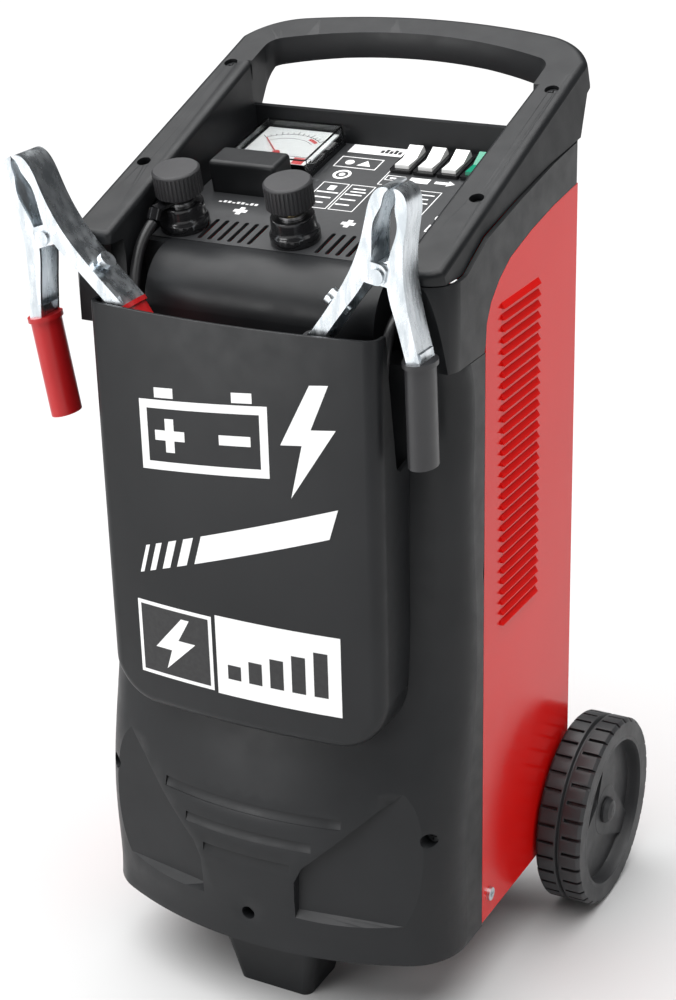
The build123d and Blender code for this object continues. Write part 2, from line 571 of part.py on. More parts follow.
def clamp_arm(width, bore, flip):
    """Stamped channel arm with teeth, a pivot ear and a tongue inside its grip."""
    line = arm_line(width)
    arm = arm_prism(offset_line(line, 0.0), offset_line(line, None), width)
    ear = extrude(Pos(3.0, 1.0) * SlotOverall(19, 13), amount=width / 2, both=True)
    arm += ear & (Pos(20, 0, 0) * Box(51, 60, 60))
    arm -= arm_prism(offset_line(line, CLAMP_T), offset_line(line, None, 7.0), width - 2 * CLAMP_T)
    arm -= Pos(-2, 2, 0) * Box(28, 26, width - 2 * CLAMP_T)
    teeth = [Pos(1.2, 49.5 - 3.4 * k, 0) * Rotation(0, 0, 45) * Box(1.9, 1.9, width + 4) for k in range(3)]
    arm -= teeth
    u, v = line[-1][0]
    end = Pos(u - 4.6, v, 0) * Rotation(0, 0, GRIP_A)
    tongue = end * Pos(0, -9, 0) * Box(6.0, 22, width - 2 * CLAMP_T - 4)
    web = end * Pos(0.6, 3.0, 0) * Box(7.6, 5.0, width - 2 * CLAMP_T)
    arm = arm + tongue + web - Cylinder(bore, 80)
    if width == CLAMP_W:
        arm -= cable_bolt(False)
    return mirror(arm, about=Plane.YZ) if flip else arm


def grip(width, bore, flip):
    """Oval dipped sleeve with a collar, on the tongue of an arm."""
    u, v = arm_line(width)[-1][0]
    body = extrude(Plane.XZ * Ellipse(GRIP_W / 2 + 0.6, GRIP_D / 2), amount=GRIP_L)
    collar = extrude(Plane.XZ * Ellipse(GRIP_W / 2 + 2.0, GRIP_D / 2 + 1.4), amount=3.0)
    sleeve = Pos(u - 4.6, v - 0.6, 0) * Rotation(0, 0, GRIP_A) * mirror(body + collar, about=Plane.XY)
    sleeve -= clamp_arm(width, bore, False)
    return mirror(sleeve, about=Plane.YZ) if flip else sleeve


def pivot_pin():
    pin = Cylinder(3.0, CLAMP_W + 0.2)
    for s in (1, -1):
        pin += Pos(0, 0, s * (CLAMP_W / 2 + 0.9)) * Cylinder(4.8, 1.6)
    return pin


def torsion_spring():
    """Close-wound coil round the pivot, with its two legs left off."""
    coil = []
    for k in range(5):
        coil.append(Pos(0, 0, (k - 2) * 2.6) * Torus(5.4, 1.25))
    return coil


def cable_bolt(flip):
    """Bolt through the fixed arm's web that holds the cable's end."""
    (u0, v0), (u1, v1) = ARM[7][0], ARM[8][0]
    u, v = (u0 + u1) / 2, (v0 + v1) / 2
    a = degrees(atan2(v1 - v0, u1 - u0)) + 90
    bolt = Cylinder(3.0, 15) + Pos(0, 0, 6.2) * Cylinder(5.6, 4.0)
    placed = Pos(u, v, 0) * Rotation(0, 0, a) * Pos(-2.0, 0, 0) * Rotation(0, 90, 0) * bolt
    return mirror(placed, about=Plane.YZ) if flip else placed


# ---------------------------------------------------------------- cables
LUG_TIP, LUG_REACH, LUG_TURN = (-89.0, -75.5, 522.0), 19.0, 245.0
POSITIVE = [(-92.0, -84.0, 514.5), (-91.0, -95.5, 498.0), (-86.5, -108.3, 474.0), (-87.5, -109.0, 434.0),
            (-87.0, -118.0, 392.0), (-83.0, -128.5, 345.0), (-70.0, -133.5, 297.0), (-36.0, -135.5, 263.0),
            (10.0, -136.5, 255.0), (52.0, -135.5, 268.0), (77.0, -133.5, 304.0), (79.0, -133.0, 350.0),
            (56.0, -135.0, 387.0), (14.0, -137.5, 399.0), (-30.0, -137.0, 393.0), (-58.0, -134.5, 362.0),
            (-61.0, -133.5, 320.0), (-35.0, -134.0, 289.0), (8.0, -134.5, 283.0), (41.0, -133.5, 304.0),
            (44.0, -132.5, 341.0), (19.0, -130.0, 368.0), (-14.0, -127.0, 386.0)]
GLAND_TIP = (89.0, -88.0, 489.0)
NEGATIVE = [(89.0, -101.0, 483.0), (87.5, -108.6, 458.0), (87.0, -109.2, 422.0), (85.5, -113.0, 380.0),
            (80.0, -118.0, 337.0), (61.0, -121.5, 299.0), (24.0, -122.5, 276.0), (-20.0, -122.5, 270.0),
            (-57.0, -121.5, 286.0), (-75.0, -118.5, 323.0), (-71.0, -115.0, 363.0), (-43.0, -113.0, 388.0),
            (0.0, -113.0, 397.0), (38.0, -113.0, 384.0), (55.0, -114.5, 350.0), (42.0, -118.0, 317.0),
            (9.0, -120.0, 301.0), (-26.0, -119.5, 309.0), (-42.0, -117.0, 337.0), (-28.0, -115.5, 362.0),
            (4.0, -119.5, 378.0)]


def grip_end(key, flip):
    """Centre of a fixed grip's lower end and the point a short run below it."""
    u, v = FIXED_TAIL[0]
    a = radians(GRIP_A)
    plane = clamp_plane(key)
    pts = []
    for d in (GRIP_L + 0.6, GRIP_L + 28.0):
        p = (u - 4.6 + d * sin(a), v - d * cos(a))
        pts.append(plane.from_local_coords(Vector(-p[0] if flip else p[0], p[1], 0)))
    return [tuple(p) for p in reversed(pts)]


def corner_radii(points):
    """Largest arc at each corner that its two runs allow."""
    radii = []
    for a, b, c in zip(points, points[1:], points[2:]):
        u, v = Vector(*b) - Vector(*a), Vector(*c) - Vector(*b)
        radii.append(0.45 * min(u.length, v.length) / tan(radians(u.get_angle(v)) / 2))
    return radii


def cable(name, points):
    radii = corner_radii(points)
    path = FilletPolyline(*points, radius=radii)
    print(name, "length", round(path.length), "radii", [round(r) for r in radii])
    start = Plane(origin=path @ 0, z_dir=path % 0)
    tube = sweep(start * Circle(CABLE_R), path=path)
    print("   volume ratio", round(tube.volume / (path.length * pi * CABLE_R ** 2), 4))
    return tube


def negative_gland():
    """Strain relief of the negative cable in the wall of the right-hand well."""
    x, y, z = GLAND_TIP
    return rod((x, -76.0, z), (x, y + 1.8, z), 5.5) + rod((x, -76.0, z), (x, -70.0, z), 5.0)


def mains_gland():
    """Gland for the mains lead in the rear panel, with its bore."""
    gland = rod((-70, 76, 170), (-70, 94, 170), 7.9) + rod((-70, BODY_REAR, 170), (-70, 88, 170), 12)
    return gland - rod((-70, 70, 170), (-70, 100, 170), 4.5)


# ---------------------------------------------------------------- inside
def transformer_core():
    core = block(-62, 62, -28, 38, 60.1, 170)
    return core - block(-40, -16, -40, 60, 80, 150) - block(16, 40, -40, 60, 80, 150)


def transformer_windings():
    """Copper coil on the centre limb, through both windows."""
    coil = block(-39, 39, -46, 56, 82, 148)
    return coil - block(-16, 16, -28, 38, 60, 200)


def rectifier():
    """Aluminium plate on two legs, with four pressed diodes."""
    plate = block(-60, 60, -6, -2, 220, 330)
    legs = [block(x - 6, x + 6, -6, 6, 170, 220) for x in (-50, 50)]
    diodes = [rod((x, -14, z), (x, -6, z), 8) for x in (-30, 30) for z in (250, 300)]
    return plate + legs + diodes


# ---------------------------------------------------------------- fasteners
def screw(p, d, head_r, head_h, shank_r, length):
    """Screw whose head's underside is at p and whose shank runs along d."""
    p, d = Vector(*p), Vector(*d).normalized()
    head = rod(tuple(p - d * head_h), tuple(p), head_r)
    slot = Plane(origin=p - d * head_h, z_dir=d) * (Box(head_r * 1.3, 1.0, 1.6) + Box(1.0, head_r * 1.3, 1.6))
    return (head - slot) + rod(tuple(p), tuple(p + d * length), shank_r)


def rail_screws():
    n = RAIL.z_dir
    out = []
    for x, y in HOLES:
        for s in (1, -1):
            top = Vector(s * x, y, rail_z(y)) - n * (7.5 if y < 0 else 5.2)
            out.append(screw(tuple(top), tuple(-n), 4.2, 2.6, 1.8, 14))
    return out


def shell_screws():
    return [screw((x, y, z), (0, 1, 0), 4.2, 2.8, 2.0, 20) for x, y, z in SHELL_HOLES]


def panel_screws():
    return both(screw((HALF_W, -52, 74), (-1, 0, 0), 4.6, 2.0, 2.0, 9))


def build():
    save("base_tray", base_tray())
    panel = side_panel()
    for name, piece in zip(("side_panel_right", "side_panel_left"), both(panel)):
        save(name, piece)
    save("rear_panel", rear_panel())
    save("head_frame", head_frame())
    save("head_skirt", head_skirt())
    save("control_panel", control_panel())
    save("front_shell", front_shell())
    save("pocket_cover", pocket_cover())
    save("front_foot", front_foot())
    save("axle", axle())
    save("axle_brackets", axle_bracket(100), axle_bracket(-100))
    for make, stem in ((tyre, "tyre"), (wheel, "wheel")):
        for name, piece in zip((stem + "_right", stem + "_left"), both(make())):
            save(name, piece)
    save("axle_caps", *both(axle_cap()))
    save("terminal_bosses", *[terminal_boss(x, y) for x, y in KNOBS])
    save("terminal_studs", *[terminal_stud(x, y) for x, y in KNOBS])
    save("terminal_washers", *[ring_plate(x, y, BOSS_H, BOSS_H + 1.6, 8.6) for x, y in KNOBS])
    for name, (x, y) in zip(("terminal_knob_left", "terminal_knob_right"), KNOBS):
        save(name, terminal_knob(x, y))
    save("ring_lug", ring_lug())
    save("meter_case", meter_case())
    save("meter_dial", meter_dial())
    save("meter_needle", meter_needle())
    save("meter_cover", meter_cover())
    save("fuse_base", fuse_base())
    save("fuse_strip", fuse_strip())
    save("fuse_cover", fuse_cover())
    save("rocker_frames", *[rocker_frame(x) for x in ROCKER_X])
    for name, x in zip(("rocker_1", "rocker_2", "rocker_3", "rocker_power"), ROCKER_X):
        save(name, rocker(x, ROCKER_TILT))
    for key in CLAMPS:
        plane, hand = clamp_plane(key), CLAMPS[key][3]
        fixed_left = hand > 0          # the arm in the pocket lies towards the middle
        stem = "clamp_" + key
        arms = (("fixed", CLAMP_W, 3.0, fixed_left), ("moving", INNER_W, 3.05, not fixed_left))
        for part, width, bore, flip in arms:
            save(f"{stem}_arm_{part}", plane * clamp_arm(width, bore, flip))
            save(f"{stem}_grip_{part}", plane * grip(width, bore, flip))
        save(stem + "_pin", plane * pivot_pin())
        save(stem + "_spring", *[plane * ring for ring in torsion_spring()])
        save(stem + "_bolt", plane * cable_bolt(fixed_left))
    save("cable_positive", cable("positive", [LUG_TIP] + POSITIVE + grip_end("positive", False)))
    save("cable_negative", cable("negative", [GLAND_TIP] + NEGATIVE + grip_end("negative", True)))
    save("negative_gland", negative_gland())
    save("mains_gland", mains_gland())
    save("transformer_core", transformer_core())
    save("transformer_windings", transformer_windings())
    save("rectifier", rectifier())
    save("rail_screws", *rail_screws())
    save("shell_screws", *shell_screws())
    save("panel_screws", *panel_screws())


build()
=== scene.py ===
"""Looks of a wheeled battery charger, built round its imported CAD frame.

Blender's unit is the metre, +Z is up and the front faces -Y. Sizes in millimetres are multiplied by MM
where they reach Blender.
"""
import json
import math

import bmesh
import bpy
from mathutils import Matrix, Vector


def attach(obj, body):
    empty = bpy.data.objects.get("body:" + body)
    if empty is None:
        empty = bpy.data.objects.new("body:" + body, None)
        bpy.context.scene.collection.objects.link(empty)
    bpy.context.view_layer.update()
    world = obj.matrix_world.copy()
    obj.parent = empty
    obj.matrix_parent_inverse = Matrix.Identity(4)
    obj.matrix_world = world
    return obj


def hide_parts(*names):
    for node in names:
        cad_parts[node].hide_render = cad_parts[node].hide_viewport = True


MM = 0.001
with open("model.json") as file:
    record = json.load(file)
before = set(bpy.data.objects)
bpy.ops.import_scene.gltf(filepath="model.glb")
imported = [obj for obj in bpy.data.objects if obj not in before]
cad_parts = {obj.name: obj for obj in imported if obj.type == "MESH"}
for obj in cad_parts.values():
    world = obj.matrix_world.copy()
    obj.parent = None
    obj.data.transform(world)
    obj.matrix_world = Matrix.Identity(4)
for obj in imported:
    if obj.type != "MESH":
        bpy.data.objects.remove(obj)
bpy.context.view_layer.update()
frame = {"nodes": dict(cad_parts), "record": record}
NODES = frame["nodes"]

# ------------------------------------------------------------------ layout, millimetres
CENTRE_Y = -4.5                       # the CAD's own shift to the middle of its depth
DECK_SLOPE = math.radians(12.5)
DECK_ORIGIN = (0.0, 78.0 + CENTRE_Y, 543.0)   # middle of the deck's rear edge
POCKET_HALF = 99.5                    # half the width of the pocket's bowed front
POCKET_SIDE_Y = -139.0 + CENTRE_Y     # that front at its two sides
POCKET_APEX = -147.0 + CENTRE_Y       # that front in the middle
DIAL_LIFT = 8.02                      # the dial's face above the deck
BAND_LIFT = 10.05                     # the meter's lower band above the deck

DECK_FILM, POCKET_FILM, LABEL_FILM = 0.12, 0.2, 0.1   # thickness of each printed film
DIAL_FILM, BAND_FILM, MARK_FILM = 0.06, 0.15, 0.08
SUNK = 0.03                           # how far a film on the pocket starts below its surface
BEND_STEP = 6.0                       # a film on the pocket is split this often, so that it can bend
FILM_REACH = 100.0                    # no film reaches further than this to either side

# the stowed routes of the two charging cables, before the shift by CENTRE_Y
CABLE_R = 3.5
POSITIVE = [(-89.0, -75.5, 522.0), (-92.0, -84.0, 514.5), (-91.0, -95.5, 498.0), (-86.5, -108.3, 474.0),
            (-87.5, -109.0, 434.0), (-87.0, -118.0, 392.0), (-83.0, -128.5, 345.0), (-70.0, -133.5, 297.0),
            (-36.0, -135.5, 263.0), (10.0, -136.5, 255.0), (52.0, -135.5, 268.0), (77.0, -133.5, 304.0),
            (79.0, -133.0, 350.0), (56.0, -135.0, 387.0), (14.0, -137.5, 399.0), (-30.0, -137.0, 393.0),
            (-58.0, -134.5, 362.0), (-61.0, -133.5, 320.0), (-35.0, -134.0, 289.0), (8.0, -134.5, 283.0),
            (41.0, -133.5, 304.0), (44.0, -132.5, 341.0), (19.0, -130.0, 368.0), (-14.0, -127.0, 386.0),
            (-26.4, -125.0, 408.0), (-41.5, -125.0, 430.8)]
NEGATIVE = [(89.0, -88.0, 489.0), (89.0, -101.0, 483.0), (87.5, -108.6, 458.0), (87.0, -109.2, 422.0),
            (85.5, -113.0, 380.0), (80.0, -118.0, 337.0), (61.0, -121.5, 299.0), (24.0, -122.5, 276.0),
            (-20.0, -122.5, 270.0), (-57.0, -121.5, 286.0), (-75.0, -118.5, 323.0), (-71.0, -115.0, 363.0),
            (-43.0, -113.0, 388.0), (0.0, -113.0, 397.0), (38.0, -113.0, 384.0), (55.0, -114.5, 350.0),
            (42.0, -118.0, 317.0), (9.0, -120.0, 301.0), (-26.0, -119.5, 309.0), (-42.0, -117.0, 337.0),
            (-28.0, -115.5, 362.0), (4.0, -119.5, 378.0), (19.4, -125.0, 394.1), (30.0, -125.0, 419.4)]

# ------------------------------------------------------------------ camera and floor, metres
CAMERA_AT = (0.6253, -1.1559, 0.8805)
CAMERA_AZIMUTH = math.radians(28.65)
CAMERA_ELEVATION = math.radians(23.21)
CAMERA_ROLL = math.radians(-1.64)
CAMERA_LENS, SENSOR = 75.96, 36.0     # millimetres, as Blender has them
FLOOR_HALF = 14.0

scene = bpy.context.scene


def shown(name, data):
    """A new object in the scene, from a mesh, curve, lamp or camera."""
    obj = bpy.data.objects.new(name, data)
    scene.collection.objects.link(obj)
    return obj


def new_material(name):
    """A material with its node tree and its surface shader."""
    material = bpy.data.materials.new(name)
    material.use_nodes = True
    return material, material.node_tree, material.node_tree.nodes["Principled BSDF"]


def put(shader, **values):
    """Sets inputs of a shader by name: base_color stands for Base Color."""
    for name, value in values.items():
        key = name.replace("_", " ").title().replace("Ior", "IOR")
        if isinstance(value, tuple) and len(value) == 3:
            value = (*value, 1.0)
        shader.inputs[key].default_value = value


# ------------------------------------------------------------------ camera, light, floor
def camera():
    """Three-quarter view from the front right and from a little above the handle."""
    azimuth, elevation, roll = CAMERA_AZIMUTH, CAMERA_ELEVATION, CAMERA_ROLL
    back = Vector((math.sin(azimuth) * math.cos(elevation), -math.cos(azimuth) * math.cos(elevation),
                   math.sin(elevation)))
    level = Vector((math.cos(azimuth), math.sin(azimuth), 0.0))
    rise = back.cross(level)
    right = math.cos(roll) * level + math.sin(roll) * rise
    up = -math.sin(roll) * level + math.cos(roll) * rise
    data = bpy.data.cameras.new("camera")
    data.sensor_fit, data.sensor_width, data.sensor_height = "AUTO", SENSOR, SENSOR
    data.lens = CAMERA_LENS
    data.clip_start, data.clip_end = 0.05, 50.0
    cam = shown("camera", data)
    cam.matrix_world = Matrix.Translation(CAMERA_AT) @ Matrix((right, up, back)).transposed().to_4x4()
    scene.camera = cam


def softbox(name, at, aim, size, power):
    """Rectangular lamp at one point, turned towards another."""
    data = bpy.data.lights.new(name, "AREA")
    data.shape, data.size, data.size_y = "RECTANGLE", size[0], size[1]
    data.energy = power
    lamp = shown(name, data)
    lamp.location = at
    lamp.rotation_mode = "QUATERNION"
    lamp.rotation_quaternion = (Vector(aim) - Vector(at)).to_track_quat("-Z", "Y")


def sky():
    """A very wide sun: soft light from overhead, which the black plastic reflects evenly."""
    data = bpy.data.lights.new("sky", "SUN")
    data.energy, data.angle = 6.2, math.radians(84)
    lamp = shown("sky", data)
    lamp.rotation_euler = (math.radians(4), math.radians(-10), 0)


def floor():
    """Flat, pale and matt, far wider than the object."""
    bm = bmesh.new()
    bmesh.ops.create_grid(bm, x_segments=2, y_segments=2, size=FLOOR_HALF)
    mesh = bpy.data.meshes.new("floor")
    bm.to_mesh(mesh)
    bm.free()
    material, _, shader = new_material("floor")
    put(shader, base_color=(0.52, 0.52, 0.52), roughness=0.9)
    mesh.materials.append(material)
    shown("floor", mesh)


def studio():
    """Floor, faint pale surroundings, two softboxes and the soft sky."""
    world = bpy.data.worlds.new("studio")
    world.use_nodes = True
    background = world.node_tree.nodes["Background"]
    background.inputs["Color"].default_value = (0.93, 0.94, 0.96, 1)
    background.inputs["Strength"].default_value = 0.10
    scene.world = world
    floor()
    softbox("key", (-1.3, -2.5, 0.85), (0, 0, 0.3), (1.6, 0.9), 30)
    softbox("side", (2.8, -0.6, 1.5), (0.1, 0, 0.35), (1.3, 1.8), 10)
    sky()
    scene.view_settings.view_transform = "Standard"
    scene.view_settings.look = "None"


# ------------------------------------------------------------------ parts of a material
def add(tree, kind, **inputs):
    """A new shader node with these values at its inputs."""
    node = tree.nodes.new(kind)
    for name, value in inputs.items():
        node.inputs[name].default_value = value
    return node


def coords(tree, scale=(1, 1, 1)):
    """The piece's own coordinates in metres, stretched by scale."""
    source = add(tree, "ShaderNodeTexCoord")
    mapping = add(tree, "ShaderNodeMapping", Scale=scale)
    tree.links.new(source.outputs["Object"], mapping.inputs["Vector"])
    return mapping.outputs["Vector"]


def noise(tree, where, scale, detail=3.0, rough=0.55):
    node = add(tree, "ShaderNodeTexNoise", Scale=scale, Detail=detail, Roughness=rough)
    tree.links.new(where, node.inputs["Vector"])
    return node.outputs["Fac"]


def spread(tree, pattern, low, high, at=(0.3, 0.7)):
    """Maps a 0 to 1 pattern on to a range of values."""
    node = add(tree, "ShaderNodeMapRange")
    tree.links.new(pattern, node.inputs["Value"])
    for name, value in zip(("From Min", "From Max", "To Min", "To Max"), (*at, low, high)):
        node.inputs[name].default_value = value
    return node.outputs["Result"]


def tint(tree, pattern, dark, light, at=(0.35, 0.65)):
    """Maps a 0 to 1 pattern on to the colours between two."""
    node = add(tree, "ShaderNodeValToRGB")
    first, last = node.color_ramp.elements
    first.position, last.position = at
    first.color, last.color = (*dark, 1), (*light, 1)
    tree.links.new(pattern, node.inputs["Fac"])
    return node.outputs["Color"]


def bump(tree, shader, height, strength, distance):
    node = add(tree, "ShaderNodeBump", Strength=strength, Distance=distance)
    tree.links.new(height, node.inputs["Height"])
    tree.links.new(node.outputs["Normal"], shader.inputs["Normal"])


def connect(tree, shader, colour, rough):
    """Wires a colour and a roughness into a shader."""
    tree.links.new(colour, shader.inputs["Base Color"])
    tree.links.new(rough, shader.inputs["Roughness"])


# ------------------------------------------------------------------ materials
def moulded(name, dark, light, rough, grain=900.0, strength=0.25, **more):
    """Moulded plastic: fine spark-eroded grain, slow colour drift, uneven gloss."""
    material, tree, shader = new_material(name)
    where = coords(tree)
    connect(tree, shader, tint(tree, noise(tree, where, 9.0, 2.0), dark, light),
            spread(tree, noise(tree, where, 60.0, 4.0), *rough))
    bump(tree, shader, noise(tree, where, grain, 2.0, 0.6), strength, 0.12 * MM)
    put(shader, **more)
    return material


def enamel(name, dark, light):
    """Glossy enamel on sheet steel with a faint orange peel."""
    material, tree, shader = new_material(name)
    where = coords(tree)
    connect(tree, shader, tint(tree, noise(tree, where, 5.0, 2.0), dark, light),
            spread(tree, noise(tree, where, 40.0, 3.0), 0.16, 0.24))
    bump(tree, shader, noise(tree, where, 260.0, 2.0), 0.06, 0.2 * MM)
    put(shader, specular_ior_level=0.2)
    return material


def metal(name, dark, light, rough, scale=220.0, strength=0.12, stretch=(1, 1, 1)):
    """Bare or plated metal: cloudy colour and gloss, and a fine crystal relief."""
    material, tree, shader = new_material(name)
    where = coords(tree, stretch)
    cloud = noise(tree, where, scale * 0.6, 4.0)
    connect(tree, shader, tint(tree, cloud, dark, light), spread(tree, cloud, *rough))
    crystals = add(tree, "ShaderNodeTexVoronoi", Scale=scale)
    tree.links.new(where, crystals.inputs["Vector"])
    bump(tree, shader, crystals.outputs["Distance"], strength, 0.2 * MM)
    put(shader, metallic=1.0)
    return material


def clear(name):
    """Clear acrylic with faint handling haze."""
    material, tree, shader = new_material(name)
    haze = noise(tree, coords(tree), 90.0, 3.0)
    tree.links.new(spread(tree, haze, 0.02, 0.07), shader.inputs["Roughness"])
    put(shader, base_color=(0.96, 0.98, 0.99), transmission_weight=1.0, ior=1.45)
    return material


def ink(name, dark, light, rough=0.5):
    """Screen-printed ink with a slightly uneven film."""
    material, tree, shader = new_material(name)
    where = coords(tree)
    connect(tree, shader, tint(tree, noise(tree, where, 300.0, 3.0), dark, light),
            spread(tree, noise(tree, where, 500.0, 2.0), rough - 0.06, rough + 0.06))
    return material


BLACK = moulded("black_plastic", (0.0085, 0.0092, 0.0102), (0.0125, 0.0132, 0.0145), (0.36, 0.48),
                specular_ior_level=0.28)
DECK_BLACK = moulded("deck_plastic", (0.022, 0.023, 0.025), (0.030, 0.031, 0.033), (0.36, 0.48), 1200.0, 0.15)
KNOB = moulded("knob_plastic", (0.022, 0.022, 0.024), (0.032, 0.032, 0.034), (0.38, 0.5), 700.0, 0.2)
GLOSS = moulded("gloss_black", (0.006, 0.006, 0.007), (0.012, 0.012, 0.013), (0.12, 0.22), 300.0, 0.05)
WHEEL = moulded("wheel_plastic", (0.020, 0.0205, 0.022), (0.032, 0.0325, 0.035), (0.45, 0.6), 600.0, 0.3)
RED = enamel("red_enamel", (0.62, 0.005, 0.004), (0.68, 0.008, 0.006))
ZINC = metal("zinc_plate", (0.50, 0.54, 0.57), (0.80, 0.84, 0.87), (0.22, 0.34), 260.0, 0.3, (1, 1, 0.25))
STEEL = metal("plain_steel", (0.40, 0.40, 0.41), (0.55, 0.55, 0.56), (0.3, 0.45), 300.0, 0.1)
BRASS = metal("brass", (0.60, 0.44, 0.18), (0.72, 0.56, 0.28), (0.2, 0.35), 400.0, 0.1)
COPPER = metal("copper", (0.50, 0.20, 0.09), (0.62, 0.29, 0.14), (0.3, 0.4), 500.0, 0.1, (1, 1, 8))
LAMINATE = metal("laminations", (0.12, 0.12, 0.13), (0.2, 0.2, 0.21), (0.4, 0.55), 120.0, 0.3, (1, 20, 1))
ALUMINIUM = metal("aluminium", (0.66, 0.67, 0.68), (0.78, 0.79, 0.8), (0.25, 0.4), 200.0, 0.1, (12, 1, 1))
RED_GRIP = moulded("red_vinyl", (0.40, 0.008, 0.010), (0.46, 0.012, 0.014), (0.26, 0.38), 350.0, 0.12)
BLACK_GRIP = moulded("black_vinyl", (0.016, 0.016, 0.018), (0.026, 0.026, 0.028), (0.34, 0.46), 350.0, 0.15)
JACKET = moulded("cable_jacket", (0.010, 0.010, 0.011), (0.016, 0.016, 0.017), (0.32, 0.45), 500.0, 0.15)
WHITE_KEY = moulded("white_key", (0.76, 0.76, 0.75), (0.82, 0.82, 0.81), (0.2, 0.3), 500.0, 0.05)
GREEN_KEY = moulded("green_key", (0.010, 0.22, 0.13), (0.014, 0.30, 0.18), (0.12, 0.2), 400.0, 0.05)
CLEAR = clear("clear_acrylic")
DIAL = ink("dial_white", (0.80, 0.80, 0.78), (0.84, 0.84, 0.82), 0.45)
NEEDLE = ink("needle_red", (0.5, 0.02, 0.02), (0.56, 0.03, 0.03), 0.35)
WHITE_INK = ink("white_ink", (0.78, 0.78, 0.78), (0.84, 0.84, 0.84))
BLACK_INK = ink("black_ink", (0.010, 0.010, 0.011), (0.016, 0.016, 0.017))
RED_INK = ink("red_ink", (0.55, 0.02, 0.02), (0.6, 0.03, 0.03))

# the finish of each of the record's material slots, and the few nodes that differ from their slot
BY_SLOT = {"black_plastic": BLACK, "red_paint": RED, "wheel_plastic": WHEEL, "zinc": ZINC, "steel": STEEL,
           "brass": BRASS, "gloss_black": GLOSS, "red_grip": RED_GRIP, "black_grip": BLACK_GRIP,
           "cable_jacket": JACKET, "white_plastic": WHITE_KEY, "green_plastic": GREEN_KEY,
           "clear_cover": CLEAR, "dial_white": DIAL, "needle_red": NEEDLE, "copper": COPPER,
           "laminations": LAMINATE, "aluminium": ALUMINIUM}
OWN = {"control_panel": DECK_BLACK, "terminal_knob_left": KNOB, "terminal_knob_right": KNOB,
       "rail_screws": DECK_BLACK, "shell_screws": DECK_BLACK}

# edge roundings, millimetres
ROUNDED = {"front_shell": 0.8, "pocket_cover": 0.8, "head_frame": 0.8, "head_skirt": 0.8, "front_foot": 1.2,
           "fuse_cover": 0.5, "terminal_knob_left": 0.4, "terminal_knob_right": 0.4, "wheel_right": 0.6,
           "wheel_left": 0.6, "tyre_right": 0.5, "tyre_left": 0.5, "terminal_bosses": 0.5}
SHARP = math.radians(35)              # edges that turn by more than this are rounded
WELD_MM = 0.02                        # the CAD mesh's split corners are joined within this


def dress_nodes():
    """Gives each CAD node its finish, and the moulded ones their rounded edges."""
    slots = {s["node"]: s["material_slot"] for s in frame["record"]["subparts"]}
    for name, obj in NODES.items():
        obj.data.materials.clear()
        obj.data.materials.append(OWN.get(name, BY_SLOT[slots[name]]))
        if name in ROUNDED:
            weld = obj.modifiers.new("weld", "WELD")
            weld.merge_threshold = WELD_MM * MM
            edge = obj.modifiers.new("edge", "BEVEL")
            edge.width, edge.segments = ROUNDED[name] * MM, 2
            edge.limit_method, edge.angle_limit = "ANGLE", SHARP


# ------------------------------------------------------------------ outlines, lists of (x, y)
def bar(x0, y0, x1, y1, w):
    """A straight stroke of width w, with square ends half a width past its points."""
    d = Vector((x1 - x0, y1 - y0)).normalized() * w / 2
    n = Vector((-d.y, d.x))
    return [(x0 - d.x + n.x, y0 - d.y + n.y), (x0 - d.x - n.x, y0 - d.y - n.y),
            (x1 + d.x - n.x, y1 + d.y - n.y), (x1 + d.x + n.x, y1 + d.y + n.y)]


def rect(x0, y0, x1, y1):
    return [(x0, y0), (x1, y0), (x1, y1), (x0, y1)]


def polar(x, y, r, angle):
    """The point at distance r and at an angle in radians from (x, y)."""
    return (x + r * math.cos(angle), y + r * math.sin(angle))


def disc(x, y, r, n=28):
    return [polar(x, y, r, 2 * math.pi * i / n) for i in range(n)]


def plus(x, y, size, w):
    """A plus sign with arms of width w."""
    h = w / 2
    s = size / 2
    return [(x - s, y - h), (x - h, y - h), (x - h, y - s), (x + h, y - s), (x + h, y - h), (x + s, y - h),
            (x + s, y + h), (x + h, y + h), (x + h, y + s), (x - h, y + s), (x - h, y + h), (x - s, y + h)]


# ------------------------------------------------------------------ shapes of several outlines
def frame_strokes(x0, y0, x1, y1, w):
    """Four strokes that do not overlap, round a rectangle."""
    return [rect(x0, y0, x1, y0 + w), rect(x0, y1 - w, x1, y1), rect(x0, y0 + w, x0 + w, y1 - w),
            rect(x1 - w, y0 + w, x1, y1 - w)]


def ring(x, y, r, w, n=28, start=0.0, end=360.0):
    """Ring or arc of width w inside radius r, as n short quads."""
    quads = []
    for i in range(n):
        a, b = (math.radians(start + (end - start) * k / n) for k in (i, i + 1))
        quads.append([polar(x, y, q, c) for q, c in ((r - w, a), (r, a), (r, b), (r - w, b))])
    return quads


# ------------------------------------------------------------------ films
def on_deck(x, s, h):
    """s millimetres along the slope from the deck's rear edge, negative to the front, and h above it."""
    across, rise = math.cos(DECK_SLOPE), math.sin(DECK_SLOPE)
    return (x, DECK_ORIGIN[1] + s * across - h * rise, DECK_ORIGIN[2] + s * rise + h * across)


def on_pocket(x, z, h):
    """On the bowed front of the pocket, h millimetres proud."""
    sag = POCKET_SIDE_Y - POCKET_APEX
    radius = (POCKET_HALF ** 2 + sag ** 2) / (2 * sag)
    y = POCKET_APEX + radius - math.sqrt(radius ** 2 - x ** 2)
    return (x, y - h + SUNK, z)


def raised(place, lift):
    """The same surface, lift millimetres higher."""
    return lambda x, y, h: place(x, y, h + lift)


